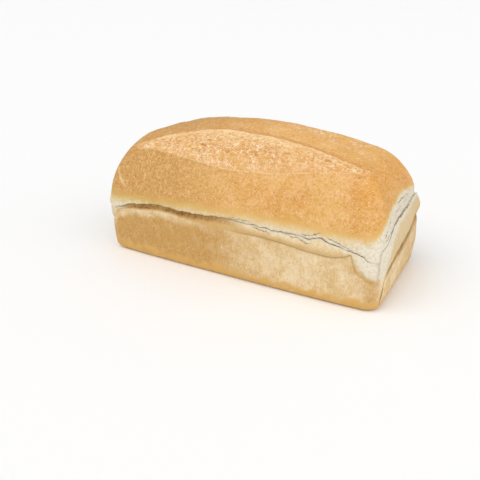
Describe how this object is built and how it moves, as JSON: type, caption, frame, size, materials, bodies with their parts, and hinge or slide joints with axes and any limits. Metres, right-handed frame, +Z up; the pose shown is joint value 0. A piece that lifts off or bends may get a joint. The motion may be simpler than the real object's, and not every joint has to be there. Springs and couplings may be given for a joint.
{
  "type": "tin loaf",
  "caption": "White bread baked in a tin: straight lower walls, a torn pale shred line, a domed golden crust and a floury opened split along the top.",
  "frame": {"origin": "centre of the bounding box, at the flat underside", "axes": "+X along the loaf's length, -Y towards the side where the split opened, +Z up"},
  "size_m": [0.2622, 0.1212, 0.1225],
  "materials": {
    "crust": "matt golden crust, paling to floury cream at the shred line, the split and the tin wall"
  },
  "bodies": {
    "root": {"loaf": "crust"}
  },
  "joints": []
}
